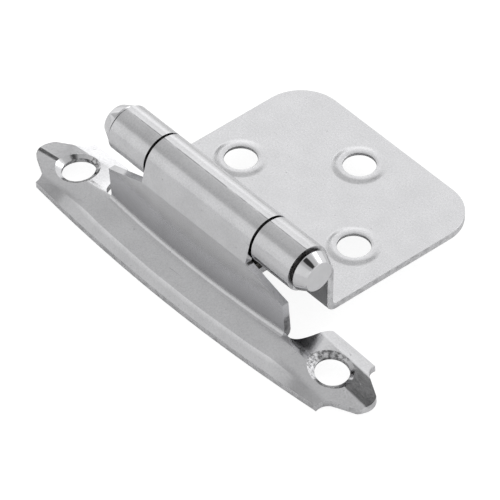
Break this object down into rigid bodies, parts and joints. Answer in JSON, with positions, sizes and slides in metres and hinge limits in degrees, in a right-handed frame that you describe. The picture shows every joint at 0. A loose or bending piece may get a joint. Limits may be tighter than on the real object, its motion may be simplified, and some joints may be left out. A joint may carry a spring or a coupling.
{
  "type": "self-closing surface hinge",
  "caption": "Decorative cabinet hinge: a slim domed frame leaf with finial ends turns on a cone-headed pin in the knuckles of a plain door leaf, and a hidden spring closes it.",
  "frame": {"origin": "on the face of the door leaf that lies against the door, midway between its two screw holes nearest the pin", "axes": "+X along the hinge pin, +Y from the pin towards the far edge of the door leaf, +Z out of the door leaf's door face"},
  "size_m": [0.07, 0.0431, 0.0181],
  "materials": {
    "plated_sheet": "satin-bright nickel-like plating on pressed steel sheet",
    "plated_pin": "bright plating on a turned steel pin",
    "spring_steel": "plain tempered spring strip"
  },
  "bodies": {
    "door_side": {"door_leaf": "plated_sheet", "hinge_pin": "plated_pin"},
    "frame_side": {"frame_leaf": "plated_sheet", "leaf_spring": "spring_steel"}
  },
  "joints": [
    {"name": "pin_hinge", "type": "hinge", "parent": "door_side", "child": "frame_side", "pos_m": [0, -0.01514, 0.01], "axis": [-1, 0, 0], "range_deg": [0, 195], "stiffness_Nm_per_rad": 0.01, "springref_deg": -57.3, "deforming": ["leaf_spring"]}
  ]
}
